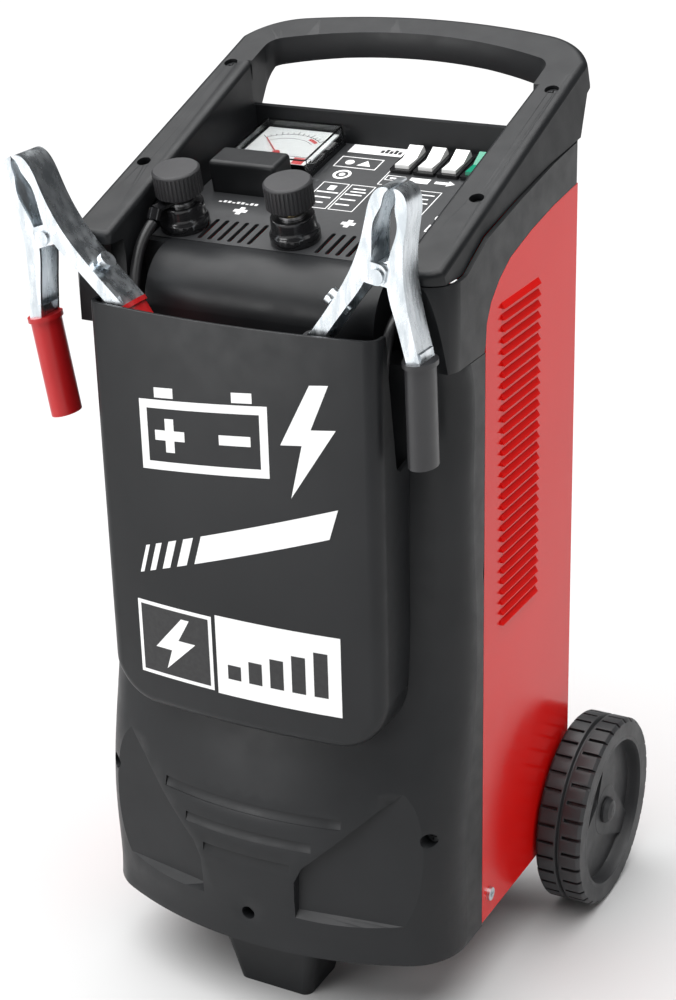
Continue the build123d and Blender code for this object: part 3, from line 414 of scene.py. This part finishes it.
def film(name, shapes, place, material, thick=DECK_FILM, step=None):
    """Printed film: flat outlines in millimetres, laid on a surface by place(x, y, height)."""
    bm = bmesh.new()
    for shape in shapes:
        bm.faces.new([bm.verts.new((x, y, 0)) for x, y in shape])
    bmesh.ops.remove_doubles(bm, verts=bm.verts, dist=1e-4)
    for k in range(math.ceil(2 * FILM_REACH / step) if step else 0):
        bmesh.ops.bisect_plane(bm, geom=bm.verts[:] + bm.edges[:] + bm.faces[:],
                               plane_co=(k * step - FILM_REACH, 0, 0), plane_no=(1, 0, 0))
    bmesh.ops.recalc_face_normals(bm, faces=bm.faces)
    for face in bm.faces:
        if face.normal.z < 0:
            face.normal_flip()
    base = bm.faces[:]
    top = bmesh.ops.extrude_face_region(bm, geom=base)
    for vertex in (g for g in top["geom"] if isinstance(g, bmesh.types.BMVert)):
        vertex.co.z = thick
    for vertex in bm.verts:
        vertex.co = Vector(place(*vertex.co)) * MM
    bmesh.ops.recalc_face_normals(bm, faces=bm.faces)
    mesh = bpy.data.meshes.new(name)
    bm.to_mesh(mesh)
    bm.free()
    mesh.materials.append(material)
    obj = shown(name, mesh)
    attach(obj, "chassis")


def pocket_film(name, shapes, material=WHITE_INK, thick=POCKET_FILM, lift=0.0, slot="white_plastic"):
    film(name, shapes, raised(on_pocket, lift), material, thick, BEND_STEP)


# ------------------------------------------------------------------ printing
def deck_print():
    """Plain marks in place of the deck's legends. All lie in front of its rear edge, so s is negative."""
    # white field by the rear edge, with a framed pair of shapes and a target in front of it
    white = [rect(-25, -12.7, 15.5, -1)]
    white += frame_strokes(-25, -34, 6, -19, 0.7)
    white += [disc(-16, -26.5, 3.2, 16), [(-9.5, -30), (0.5, -30), (-4.5, -22.5)]]
    white += ring(-13, -44, 6.3, 2.0) + [disc(-13, -44, 2.2)]
    # two tables with headings and rows, and a third with rows alone
    for x0, x1 in ((-20, -1), (0.5, 18)):
        white += frame_strokes(x0, -91, x1, -56, 0.6)
    for k in range(3):
        s = -70 - 7 * k
        white += [rect(-18.5, s, -3 - 2 * k, s + 1.4), rect(2, s, 14 - k, s + 1.4)]
    white += [rect(-13, -66, -8, -60), rect(4, -66, 15, -64.6), rect(4, -62, 13, -60.6)]
    white += frame_strokes(48, -90, 64, -54, 0.6)
    white += [rect(50.5, -60 - 5.5 * k, 61 - 2 * (k % 2), -58.8 - 5.5 * k) for k in range(5)]
    # round and square marks at the right-hand edge
    for s in (-58, -86):
        white += ring(79, s, 5.0, 1.2, 18) + [disc(79, s, 1.6)]
        white += frame_strokes(74.5, s - 18.5, 83.5, s - 9.5, 1.0) + [rect(77.5, s - 15.5, 80.5, s - 12.5)]
    # strokes behind the switches; a framed mark, a plain field and an arrow in front; a bracket beside them
    white += [rect(x - 5.5, -1.4, x + 5.5, -0.9) for x in (25.0, 41.7, 58.4)]
    white += frame_strokes(18, -45, 31, -38.5, 0.6) + [rect(21, -42.8, 28, -41.0)]
    white += [rect(35, -45, 49, -38.5)]
    white += [[(53, -43.4), (62, -43.4), (62, -45.4), (67, -41.8), (62, -38.2), (62, -40.2), (53, -40.2)]]
    white += [rect(16.4, -52, 17.0, -3), rect(17.0, -52, 20, -51.4)]
    # plus signs and a row of small marks by the terminals
    white += [plus(-55, -106, 9.5, 3.4), plus(23, -106, 9.5, 3.4)]
    white += [rect(-76 + 3.3 * k, -97.6, -73.9 + 3.3 * k, -95.0 if k % 3 else -96.2) for k in range(9)]
    film("deck_print", white, on_deck, WHITE_INK)
    marks = [rect(-2 + 3.2 * k, -9.6, 0.2 + 3.2 * k, -4.4 if k % 2 else -6.0) for k in range(5)]
    film("deck_label_marks", marks, raised(on_deck, DECK_FILM), BLACK_INK)


def leaning(shape, lean=0.10):
    """The outline with its right-hand side lifted."""
    return [(x, z + lean * x) for x, z in shape]


def rising(x0, x1, low=312.5, tall=20.0, slope=0.35, lean=6.0):
    """One piece of the rising band, between x0 and x1 at its foot."""
    foot = [(x, low + slope * (x + 70)) for x in (x0, x1)]
    head = [(x + lean, z + tall) for x, z in reversed(foot)]
    return foot + head


def pocket_print():
    """Generic signs: a battery with a flash, a rising band, a flash badge and charge-level bars."""
    battery = frame_strokes(-62, 392, 30, 438, 5.5) + [rect(-50, 439.5, -36, 446), rect(6, 439.5, 20, 446)]
    battery += [plus(-40, 415, 22, 6.5), rect(-4, 411.8, 18, 418.2)]
    flash = [(58, 452), (38, 414), (52, 414), (44, 380), (74, 424), (58, 424), (70, 452)]
    pocket_film("pocket_emblem", [leaning(shape) for shape in battery + [flash]])
    spans = ((-70, -67), (-62, -57.5), (-52, -46), (-40.5, -33), (-27, 68))
    pocket_film("pocket_band", [rising(*span) for span in spans])
    # the label: a badge and a plain field side by side, each with black printing on top
    pocket_film("pocket_badge", [rect(-74, 241, -17, 293)])
    pocket_film("pocket_label", [rect(-14, 240, 73, 295)])
    black = {"material": BLACK_INK, "thick": LABEL_FILM, "lift": POCKET_FILM, "slot": "gloss_black"}
    pocket_film("pocket_badge_field", [rect(-71.5, 243.5, -19.5, 290.5)], **black)
    sign = [(-40, 286), (-61, 262), (-48.5, 262), (-53, 248), (-30, 270), (-43, 270), (-34, 286)]
    pocket_film("pocket_badge_sign", [sign], thick=LABEL_FILM, lift=POCKET_FILM + LABEL_FILM)
    levels = [rect(-6 + 15.2 * k, 252, 3.5 + 15.2 * k, 262 + 5.2 * k) for k in range(5)]
    pocket_film("pocket_label_levels", levels, **black)


def meter_print():
    """Scale on the dial: two arcs with ticks and a red zone, and a white lower band with a red mark."""
    pivot = (-61.0, -43.5)
    first, last, outer, ticks = 48, 132, 31, 13
    scale = ring(*pivot, outer, 0.5, 30, first, last) + ring(*pivot, 25, 0.35, 30, first, last)
    for k in range(ticks):
        angle = math.radians(first + (last - first) * k / (ticks - 1))
        tip = 34.5 if k % 3 == 0 else 33
        scale += [bar(*polar(*pivot, outer, angle), *polar(*pivot, tip, angle), 0.5)]
    dial, band = raised(on_deck, DIAL_LIFT), raised(on_deck, BAND_LIFT)
    film("dial_scale", scale, dial, BLACK_INK, DIAL_FILM)
    red_zone = ring(*pivot, 29.5, 2.6, 8, first, 66)
    film("dial_red_zone", red_zone, dial, RED_INK, DIAL_FILM)
    film("dial_band", [rect(-88.5, -56.0, -33.5, -47.6)], band, WHITE_INK, BAND_FILM)
    film("dial_band_mark", [rect(-44, -55.2, -36, -48.4)], raised(band, BAND_FILM), RED_INK, MARK_FILM)


# ------------------------------------------------------------------ cables
def cable(name, node, points):
    """A charging cable along its stowed route, in place of the CAD's tube."""
    route = [Vector((x, y + CENTRE_Y, z)) * MM for x, y, z in points]
    data = bpy.data.curves.new(name, "CURVE")
    data.dimensions = "3D"
    line = data.splines.new("NURBS")
    line.points.add(len(route) - 1)
    for point, at in zip(line.points, route):
        point.co = (*at, 1.0)
    line.order_u = 3
    line.use_endpoint_u = True
    line.resolution_u = 12
    data.bevel_depth = CABLE_R * MM
    data.bevel_resolution = 6
    data.use_fill_caps = True
    data.materials.append(JACKET)
    obj = shown(name, data)
    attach(obj, "chassis")
    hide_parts(node)


camera()
cable("positive_lead", "cable_positive", POSITIVE)
cable("negative_lead", "cable_negative", NEGATIVE)
studio()
dress_nodes()
deck_print()
pocket_print()
meter_print()
